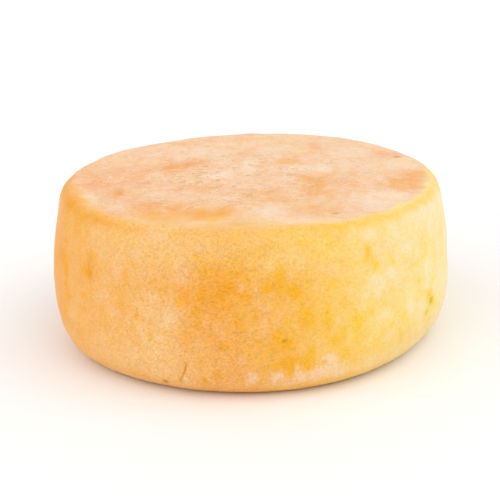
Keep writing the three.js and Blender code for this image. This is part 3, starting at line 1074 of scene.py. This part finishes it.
top_ripe = TOP_RIPE + RIPE_DRIFTS * layered_noise(smooth, RIPE_DRIFT_SIZE, 61)
top_dusty = TOP_DUSTY + DUSTY_DRIFTS * layered_noise(smooth, DUSTY_DRIFT_SIZE, 62)
for *mark, riper, dustier in TOP_MARKS:
    shape = top_oval(*mark)
    top_ripe = top_ripe + riper * shape
    top_dusty = top_dusty + dustier * shape
side_ripe = side_ripe + on_top * (top_ripe - TOP_RIPE)
side_dusty = side_dusty + on_top * (top_dusty - TOP_DUSTY)
print(len(TOP_MARKS), "marks on the top face")

# %% [markdown]
# Bloom grows where the wheel was left alone: in a row of patches low on the front, beside the crack,
# and in drifts on the top face. In other places the cloth went over the edge, and there the side's
# colours lie on the top face too. The back has no marks of its own, so noise gives it patches of
# the same sizes as those in front.

# %% Bloom, the edge and the back
SIDE_BLOOM = (  # degrees, height, half length, half width, strength
    (-90.8, 12.5, 3, 4, 0.94),
    (-92.5, 7.5, 1.2, 3.5, 0.50),
    (-84.5, 12.5, 3.4, 3.2, 0.88),
    (-79, 16.5, 1.3, 3.5, 0.62),
    (-78, 11.5, 3, 2.6, 0.81),
    (-73, 12, 4.5, 3, 1.00),
    (-71.5, 20.2, 3, 1.6, 0.81),
    (-69, 16.5, 3, 4.5, 1.06),
    (-80, 7.5, 26, 3.5, 0.56),
    (-73, 14, 12, 6, 0.38),
    (-65, 16, 3, 3, 0.35),
    (-66.5, 10.5, 4.5, 3, 0.75),
    (-60.5, 10.5, 5, 3, 0.45),
    (-109, 11.5, 1.5, 3.5, 0.75),
    (-114.7, 30.7, 2.6, 1.5, 0.50),
    (-112.3, 41, 4, 6, 0.58),
    (-117, 49.5, 3, 2.2, 0.30),
    (-118.2, 42, 2.2, 2.8, 0.35),
    (-115.5, 23.7, 4, 1.8, 0.48),
    (-115, 76.5, 7, 2.2, 0.40),
    (-89, 55.5, 1.6, 4, 0.31),
    (-51, 52.2, 3, 2.6, 0.31),
)
TOP_BLOOM = (  # to the right, behind, half length, half width, strength
    (8, -62, 7, 10, 0.58),
    (9, -75, 6, 6, 0.3),
    (57, -55, 9, 12, 0.7),
    (70, -45, 7, 9, 0.55),
    (20, -80, 10, 6, 0.5),
    (38, -76, 8, 5, 0.2),
    (-62, -46, 6, 11, 0.35),
    (-79, -31, 5, 12, 0.55),
    (-46, -22, 8, 8, 0.3),
    (-15, 5, 10, 12, 0.45),
    (0, 25, 3, 11, 0.7),
    (39, 12, 4, 7, 0.6),
    (-25, 60, 3, 11, 0.35),
    (-44, 5, 7, 8, 0.4),
    (-33, 49, 9, 7, 0.45),
)
OVER_THE_EDGE = (  # to the right, behind, half length, half width, turn
    (-20, -88, 55, 12, -4),
    (-38, -68, 14, 12, 0),
    (-20, -68, 13, 9, 0),
)
THIN_BLOOM = 0.12  # what lies all over the top face
BACK_STARTS, BACK_FULL = -0.25, 0.35  # how far behind the axis, in radii
BACK_RIPE, BACK_RIPE_SIZE = 0.3, 17.0  # how much noise adds to the back, and its size in mm
BACK_DUSTY, BACK_DUSTY_SIZE = 0.5, 13.0
BACK_BLOOM, BACK_BLOOM_SIZE = 0.6, 14.0
PATCH_STARTS, PATCH_FULL = 0.1, 0.6  # where in the noise a patch of bloom starts and is full

behind_axis = eased(np.sin(np.radians(place_angle)), BACK_STARTS, BACK_FULL)
side_ripe = side_ripe + behind_axis * BACK_RIPE * layered_noise(smooth, BACK_RIPE_SIZE, 71)
side_dusty = side_dusty + behind_axis * BACK_DUSTY * layered_noise(smooth, BACK_DUSTY_SIZE, 72)

patches = eased(noise(smooth, BACK_BLOOM_SIZE, 73), PATCH_STARTS, PATCH_FULL)
side_bloom = BACK_BLOOM * behind_axis * low * patches
for *mark, strength in SIDE_BLOOM:
    side_bloom = side_bloom + strength * side_oval(*mark)
top_bloom = np.full(len(smooth), THIN_BLOOM)
for *mark, strength in TOP_BLOOM:
    top_bloom = top_bloom + strength * top_oval(*mark)
wiped_over = np.max([top_oval(*mark) for mark in OVER_THE_EDGE], axis=0)
print(f"bloom lies on {(side_bloom > 0.3).mean() + (on_top * top_bloom > 0.3).mean():.0%} of the points")

# %% [markdown]
# Stains are what has collected in the crack and the pin-holes, and a few dark specks. Three more
# numbers say where the rind shows brine that ran down, how much it is crackled, and how much its
# skin is wrinkled. The side is most crackled left of the middle of its front, round the darkest
# place, and the top face is most wrinkled at its middle, where it dried last. Everything that the
# material needs is kept in the mesh as attributes, a number from 0 to 1 at each point.

# %% Attributes
RUNS_AT, RUNS_HALF = -42, 42  # degrees, and mm round the side
CRACKLED_AT, CRACKLED_HALF = -104, 62
WRINKLED_SIDE = (-98, 46, 20, 26)  # degrees, height, half length, half width
WRINKLED_AT, WRINKLED_HALF = (-12, 2), (58, 50)  # on the top face
CRACKLED_LEAST, CRACKLED_MORE = 0.2, 0.48  # all over the side, and added at its most crackled place
WRINKLED_LEAST, WRINKLED_MORE = 0.05, 0.6
TOP_CRACKLED_LEAST, TOP_CRACKLED_MORE = 0.1, 0.4  # and the same for the top face
TOP_WRINKLED_LEAST, TOP_WRINKLED_MORE = 0.2, 0.8
TOP_SPECKS = ((78.2, 26.5, 1.9), (38.3, -69.7, 1.4))  # to the right, behind, half size
LOW_SPECKS = ((-110.6, 9.8, 1.1), (-115.9, 6.7, 1.5), (-103.8, 10.5, 0.7))  # degrees, height, half size
LOW_SPECK_TALL = 1.4  # height over width
IN_CRACK, IN_SPECKS = 0.9, 0.7  # how strong the stain is in them; in the pin-holes it is 1

on_flat = np.maximum(on_top * (1 - np.clip(wiped_over, 0, 1)), on_foot)
top_specks = [top_oval(x, y, half, half) for x, y, half in TOP_SPECKS]
low_specks = [side_oval(at, up, half, LOW_SPECK_TALL * half) for at, up, half in LOW_SPECKS]
specks = on_top * sum(top_specks) + on_side * sum(low_specks)
in_bowls = np.sqrt(sum(shape for shape, _ in bowls))
stain = IN_CRACK * crack**2 + in_bowls + IN_SPECKS * specks
runs_here = band(round_from(RUNS_AT), 0, RUNS_HALF) * on_side
wrinkled_side = WRINKLED_LEAST + WRINKLED_MORE * side_oval(*WRINKLED_SIDE)
from_middle = (smooth[:, :2] - WRINKLED_AT) / WRINKLED_HALF
wrinkled_top = TOP_WRINKLED_LEAST + TOP_WRINKLED_MORE * np.exp(-(from_middle**2).sum(1))
wrinkled = wrinkled_top * on_flat + wrinkled_side * on_side
crackled_side = CRACKLED_LEAST + CRACKLED_MORE * band(round_from(CRACKLED_AT), 0, CRACKLED_HALF)
crackled_top = TOP_CRACKLED_LEAST + TOP_CRACKLED_MORE * wrinkled_top
crackled = crackled_top * on_flat + crackled_side * on_side

for name, value in {
    "ripe": on_flat * top_ripe + (1 - on_flat) * side_ripe,
    "dusty": on_flat * top_dusty + (1 - on_flat) * side_dusty,
    "bloom": on_flat * top_bloom + (1 - on_flat) * side_bloom,
    "flat_face": on_flat,
    "stain": stain,
    "runs_here": runs_here,
    "crackled": crackled,
    "wrinkled": wrinkled,
}.items():
    kept = np.clip(value, 0, 1).astype(np.float32)
    wheel_mesh.attributes.new(name, "FLOAT", "POINT").data.foreach_set("value", kept)
    print(f"{name}: {kept.mean():.2f} on average, up to {kept.max():.2f}")

# %% [markdown]
# ## The rind's material
#
# The rind is dried milk protein and fat that was washed with brine: a dense skin that is waxy to the
# touch, neither glossy nor chalky. Light goes a millimetre or two into it, which softens the edge of
# every mark. A painted picture could give its colours, but procedural layers have no resolution to
# run out of. There are four colour ramps from unripe to ripe: dense and dusty rind on the side, and
# dense and dusty rind on the two flat faces. Noise in millimetres breaks up how dusty it is.

# %% Helpers for the material


def linear(hex_code):
    """An sRGB hex colour as linear light: below a small value it is divided, above it is raised to
    the power of 2.4."""
    values = [int(hex_code[i : i + 2], 16) / 255 for i in (1, 3, 5)]
    return tuple(v / 12.92 if v <= 0.04045 else ((v + 0.055) / 1.055) ** 2.4 for v in values) + (1.0,)


def add(tree, kind, settings=None, inputs=None, output=None):
    """Adds a node, sets its settings, and gives each named input a value or a link from another
    node's output. It returns the output with the given name, or the first one in use."""
    node = tree.nodes.new(kind)
    for name, value in (settings or {}).items():
        setattr(node, name, value)
    for name, value in (inputs or {}).items():
        by_name = (s for s in node.inputs if s.name == name and s.enabled)
        socket = node.inputs[name] if isinstance(name, int) else next(by_name)
        if isinstance(value, bpy.types.NodeSocket):
            tree.links.new(value, socket)
        else:
            socket.default_value = value
    return next((s for s in node.outputs if s.enabled and output in (None, s.name)), None)


print("linear light of a mid grey:", [round(v, 3) for v in linear("#808080")])

# %% Where the material reads, and its noises
TO_MM = 1 / MM

rind = bpy.data.materials.new("washed_natural_rind")
rind.use_nodes = True
tree = rind.node_tree
tree.nodes.clear()

attribute_names = ("ripe", "dusty", "bloom", "flat_face", "stain", "runs_here", "crackled", "wrinkled")
layer = {
    name: add(tree, "ShaderNodeAttribute", {"attribute_name": name}, output="Fac")
    for name in attribute_names
}
metres = add(tree, "ShaderNodeTexCoord", output="Object")
mm = add(tree, "ShaderNodeVectorMath", {"operation": "SCALE"}, {0: metres, "Scale": TO_MM})

NOISES = {  # how each direction is stretched, size in mm, layers, roughness of the layers
    "patches": ((1.0, 1.0, 0.9), 10.0, 4.0, 0.75),
    "drifts": ((1.0, 0.7, 1.0), 8.0, 3.0, 0.75),
    "plates": ((1.0, 0.7, 1.0), 5.0, 3.0, 0.7),
    "runs": ((1.0, 1.0, 0.35), 3.0, 2.0, 0.6),
    "shades": ((1.0, 1.0, 0.9), 8.0, 3.0, 0.8),
    "rubs": ((1.0, 0.6, 1.0), 14.0, 3.0, 0.7),
    "crackle": ((0.8, 0.8, 1.0), 1.1, 3.0, 0.8),
    "squiggles": ((0.4, 0.8, 1.0), 3.2, 2.0, 0.6),
    "clusters": ((1.0, 0.8, 1.0), 9.0, 2.0, 0.6),
    "ticks": ((1.0, 0.6, 0.7), 1.3, 1.0, 0.5),
    "flecks": ((0.5, 0.8, 1.0), 1.6, 1.0, 0.5),
    "grains": ((1.2, 0.9, 0.7), 1.6, 2.5, 0.85),
}
noise_of = {}
for name, (stretch, size, layers, roughness) in NOISES.items():
    place = add(tree, "ShaderNodeVectorMath", {"operation": "MULTIPLY"}, {0: mm, 1: stretch})
    inputs = {"Vector": place, "Scale": 1 / size, "Detail": layers, "Roughness": roughness}
    plain = add(tree, "ShaderNodeTexNoise", None, inputs)
    noise_of[name] = add(tree, "ShaderNodeMath", {"operation": "SUBTRACT"}, {0: plain, 1: 0.5})
print(len(noise_of), "noises about zero")

# %% [markdown]
# What each noise does is a small sum. On the side soft patches make the rind more and less dusty,
# and on its right long runs do, where brine ran down. On the flat faces drifts do it, and so do
# plates: islands of film with a clear edge, where it cracked and partly came off.

# %% Ripe and dusty, roughened
PATCHES_DUSTY, RUNS_DUSTY, DRIFTS_DUSTY = 1.25, 0.35, 1.2  # how much each noise adds
SHADES_RIPE, RUBS_RIPE = 0.35, 0.75
PLATE_DUSTY = 0.1  # more on a plate and less between plates
PLATE_EDGE = 0.03  # half the width of a plate's edge, in the noise

side_patches = add(tree, "ShaderNodeMath", {"operation": "MULTIPLY_ADD"}, {
    0: add(tree, "ShaderNodeMath", {"operation": "MULTIPLY"}, {
        0: noise_of["runs"],
        1: layer["runs_here"],
    }),
    1: RUNS_DUSTY,
    2: add(tree, "ShaderNodeMath", {"operation": "MULTIPLY"}, {
        0: noise_of["patches"],
        1: PATCHES_DUSTY,
    }),
})
plates = add(tree, "ShaderNodeMapRange", {"interpolation_type": "SMOOTHSTEP"}, {
    "Value": noise_of["plates"],
    "From Min": -PLATE_EDGE,
    "From Max": PLATE_EDGE,
    "To Min": -PLATE_DUSTY,
    "To Max": PLATE_DUSTY,
})
roughening = add(tree, "ShaderNodeMix", {"data_type": "FLOAT"}, {
    "Factor": layer["flat_face"],
    "A": side_patches,
    "B": add(tree, "ShaderNodeMath", {"operation": "MULTIPLY_ADD"}, {
        0: noise_of["drifts"],
        1: DRIFTS_DUSTY,
        2: plates,
    }),
})
dusty = add(tree, "ShaderNodeMath", {"operation": "ADD", "use_clamp": True}, {
    0: layer["dusty"],
    1: roughening,
})
uneven = add(tree, "ShaderNodeMix", {"data_type": "FLOAT"}, {
    "Factor": layer["flat_face"],
    "A": add(tree, "ShaderNodeMath", {"operation": "MULTIPLY"}, {0: noise_of["shades"], 1: SHADES_RIPE}),
    "B": add(tree, "ShaderNodeMath", {"operation": "MULTIPLY"}, {0: noise_of["rubs"], 1: RUBS_RIPE}),
})
ripe = add(tree, "ShaderNodeMath", {"operation": "ADD", "use_clamp": True}, {
    0: layer["ripe"],
    1: uneven,
})
print("dusty and ripe are roughened")

# %% The four ramps, mixed
RAMPS = {  # colours from unripe over half ripe to ripe
    "dense side": ("#f5dc5c", "#f7bf2c", "#ef9e18"),
    "dusty side": ("#f6eac2", "#f7d08c", "#f1b676"),
    "dense flat": ("#f1cd88", "#f0b775", "#ee9f50"),
    "dusty flat": ("#f2e0ba", "#f2d1b2", "#f2bb9a"),
}
ramp_of = {}
for name, colours in RAMPS.items():
    ramp_of[name] = add(tree, "ShaderNodeValToRGB", None, {"Fac": ripe})
    stops = ramp_of[name].node.color_ramp.elements
    stops.new(0.5)
    for stop, colour in zip(stops, colours):
        stop.color = linear(colour)

side_ground, flat_ground = (
    add(tree, "ShaderNodeMix", {"data_type": "RGBA"}, {
        "Factor": dusty,
        "A": ramp_of["dense " + face],
        "B": ramp_of["dusty " + face],
    })
    for face in ("side", "flat")
)
ground = add(tree, "ShaderNodeMix", {"data_type": "RGBA"}, {
    "Factor": layer["flat_face"],
    "A": side_ground,
    "B": flat_ground,
})
print(len(RAMPS), "ramps of", len(stops), "colours")

# %% [markdown]
# Close to, the rind is finely crackled: a network of tiny dry scales, half a millimetre wide. They
# are drawn twice as wide, because they would not show at their own size, and their light and shade
# are painted into the colour. Between them the colour is darkened towards brown, as short ticks and,
# in clusters, as thin squiggles where the skin wrinkled as it dried. The brown is redder on the side,
# where it lies in orange rind, and greyer on the pale top face. Among them are pale flecks. Bloom
# lies over it all as a thin film and in grains.

# %% Crackle, dark lines, flecks and bloom
DARK_LINE_BROWN = {"side": linear("#b8692c"), "flat": linear("#a97c48")}
FLECK = linear("#f8e2c4")
BLOOM = linear("#f6dcc2")
CRACKLE_CONTRAST = 1.3
GRAINS_STAND_UP, FILM_STANDS_UP = 3.6, 0.8  # how much noise breaks up each kind of bloom

# The crackle's light and shade are painted into the colour: the ground is made lighter where the crackle
# stands up and darker where it sinks, using the heights that also go into the bump below.
crackle_depth = add(tree, "ShaderNodeMath", {"operation": "MULTIPLY"}, {
    0: noise_of["crackle"],
    1: layer["crackled"],
})
crackle_light = add(tree, "ShaderNodeMath", {"operation": "MULTIPLY_ADD"}, {
    0: crackle_depth,
    1: CRACKLE_CONTRAST,
    2: 1.0,
})
lit_and_shaded = add(tree, "ShaderNodeVectorMath", {"operation": "SCALE"}, {
    0: ground,
    "Scale": crackle_light,
})
nearness = add(tree, "ShaderNodeMath", {"operation": "ABSOLUTE"}, {0: noise_of["squiggles"]})
bloom_height = add(tree, "ShaderNodeMath", {"operation": "MULTIPLY_ADD"}, {
    0: noise_of["grains"],
    1: GRAINS_STAND_UP,
    2: layer["bloom"],
})
film_height = add(tree, "ShaderNodeMath", {"operation": "MULTIPLY_ADD"}, {
    0: noise_of["drifts"],
    1: FILM_STANDS_UP,
    2: layer["bloom"],
})
SHOWN = {  # what is looked at, where it starts to show, where it is full, and how much it then shows
    "ticks": (noise_of["ticks"], 0.10, 0.20, 0.3),
    "squiggles": (nearness, 0.045, 0.0, 0.55),
    "clusters": (noise_of["clusters"], -0.04, 0.10, 1.0),
    "flecks": (noise_of["flecks"], 0.12, 0.22, 0.45),
    "grains": (bloom_height, 0.42, 1.4, 0.8),
    "film": (film_height, 0.25, 1.1, 0.5),
}
shown = {
    name: add(tree, "ShaderNodeMapRange", {"interpolation_type": "SMOOTHSTEP"}, {
        "Value": value,
        "From Min": start,
        "From Max": full,
        "To Max": most,
    })
    for name, (value, start, full, most) in SHOWN.items()
}
in_clusters = add(tree, "ShaderNodeMath", {"operation": "MULTIPLY"}, {
    0: shown["squiggles"],
    1: shown["clusters"],
})
ticks_shown, squiggles_shown, flecks_shown = (
    add(tree, "ShaderNodeMath", {"operation": "MULTIPLY"}, {0: amount, 1: layer[where]})
    for amount, where in (
        (shown["ticks"], "crackled"),
        (in_clusters, "wrinkled"),
        (shown["flecks"], "flat_face"),
    )
)
dark_lines_shown = add(tree, "ShaderNodeMath", {"operation": "MAXIMUM"}, {0: ticks_shown, 1: squiggles_shown})
# The brown that the ticks and squiggles darken the colour towards: redder on the side and greyer on the
# top face.
dark_lines = add(tree, "ShaderNodeMix", {"data_type": "RGBA"}, {
    "Factor": layer["flat_face"],
    "A": DARK_LINE_BROWN["side"],
    "B": DARK_LINE_BROWN["flat"],
})
colour = lit_and_shaded
bloom_shown = add(tree, "ShaderNodeMath", {"operation": "MAXIMUM"}, {0: shown["grains"], 1: shown["film"]})
for factor, over in ((bloom_shown, BLOOM), (flecks_shown, FLECK), (dark_lines_shown, dark_lines)):
    colour = add(tree, "ShaderNodeMix", {"data_type": "RGBA"}, {"Factor": factor, "A": colour, "B": over})
print("dust, flecks and bloom lie over the ground")

# %% [markdown]
# What has collected in the hollows is the brine's own colour, so it is the dense rind's colour once
# more, only darker: olive gold where the rind is straw-coloured, and brown where it is orange. The
# specks on the pale top face are a plain brown.

# %% Stains
BRINE = (0.72, 0.72, 0.3)  # share of red, green and blue light that a stain leaves
SPECK = linear("#b4733a")

brine_colour = add(tree, "ShaderNodeVectorMath", {"operation": "MULTIPLY"}, {
    0: ramp_of["dense side"],
    1: BRINE,
})
stain_colour = add(tree, "ShaderNodeMix", {"data_type": "RGBA"}, {
    "Factor": layer["flat_face"],
    "A": brine_colour,
    "B": SPECK,
})
colour = add(tree, "ShaderNodeMix", {"data_type": "RGBA"}, {
    "Factor": layer["stain"],
    "A": colour,
    "B": stain_colour,
})
print("stains lie in the hollows")

# %% [markdown]
# The crackle is relief as well, far too fine for the mesh, so it becomes bump. Rind that is dense is
# a little smoother than rind under dust. Its index of refraction is that of fats and waxes, but only
# half as much light is mirrored as from clean wax, because the scales break the surface up. That is
# what keeps the orange and the yellow deep: a mirrored white room would lie over them like milk.

# %% Bump, gloss and the shader
CRACKLE_HEIGHT = 0.2 * MM
SHADES_STAND_UP = 2.0  # how high the soft shades stand, beside the crackle
DENSE_ROUGHNESS, DUSTY_ROUGHNESS = 0.52, 0.68

bump = add(tree, "ShaderNodeBump", None, {
    "Strength": 0.6,
    "Distance": CRACKLE_HEIGHT,
    "Height": add(tree, "ShaderNodeMath", {"operation": "MULTIPLY_ADD"}, {
        0: noise_of["shades"],
        1: SHADES_STAND_UP,
        2: crackle_depth,
    }),
})
gloss = add(tree, "ShaderNodeMapRange", None, {
    "Value": dusty,
    "To Min": DENSE_ROUGHNESS,
    "To Max": DUSTY_ROUGHNESS,
})
surface = add(tree, "ShaderNodeBsdfPrincipled", None, {
    "Base Color": colour,
    "Roughness": gloss,
    "Normal": bump,
    "IOR": 1.45,
    "Specular IOR Level": 0.25,
    "Subsurface Weight": 0.1,
    "Subsurface Radius": (1.0, 0.55, 0.3),
    "Subsurface Scale": 1.6 * MM,
})
add(tree, "ShaderNodeOutputMaterial", None, {"Surface": surface})
wheel_mesh.materials.append(rind)
print(len(tree.nodes), "nodes in the rind")

# %% [markdown]
# ## Floor and light
#
# The wheel stands on plain white paper, which is matt, so that no mirror image of the wheel lies in
# it, only a soft shade and a little of its colour. A dome of soft light shows the colours as they are.
# Lamps close by would leave bright pools on the paper. Two broad suns light all of it alike: the
# key from the right and above, which gives the wheel its form, and a weaker one that fills the left.

# %% Floor
FLOOR_HALF = 12.0  # metres, so that its far edge is out of sight

corners = [(x * FLOOR_HALF, y * FLOOR_HALF, 0) for x, y in ((-1, -1), (1, -1), (1, 1), (-1, 1))]
floor_mesh = bpy.data.meshes.new("floor")
floor_mesh.from_pydata(corners, [], [(0, 1, 2, 3)])
floor = in_the_scene("floor", floor_mesh)
paper = bpy.data.materials.new("matt_white_paper")
paper.use_nodes = True
paper_surface = paper.node_tree.nodes["Principled BSDF"]
paper_surface.inputs["Base Color"].default_value = linear("#fafafa")
paper_surface.inputs["Roughness"].default_value = 0.9
floor_mesh.materials.append(paper)
print("the floor is", 2 * FLOOR_HALF, "m wide")

# %% Light
DOME_STRENGTH = 0.785
SUN_SPREAD = math.radians(60)  # the angle that each sun fills in the sky, for soft shadows
SUNS = {  # strength, and the direction that its light comes from
    "key": (0.8, (1.0, -0.45, 1.3)),
    "fill": (0.6, (-1.0, -0.5, 0.9)),
}

world = bpy.data.worlds.new("studio")
world.use_nodes = True
world.node_tree.nodes["Background"].inputs["Color"].default_value = linear("#ffffff")
world.node_tree.nodes["Background"].inputs["Strength"].default_value = DOME_STRENGTH
bpy.context.scene.world = world

for name, (strength, towards) in SUNS.items():
    lamp = bpy.data.lights.new(name, "SUN")
    lamp.energy = strength
    lamp.angle = SUN_SPREAD
    hung = in_the_scene(name, lamp)
    hung.rotation_euler = Vector(towards).to_track_quat("Z", "Y").to_euler()
bpy.context.scene.view_settings.view_transform = "Standard"
print(len(SUNS), "suns and a dome")
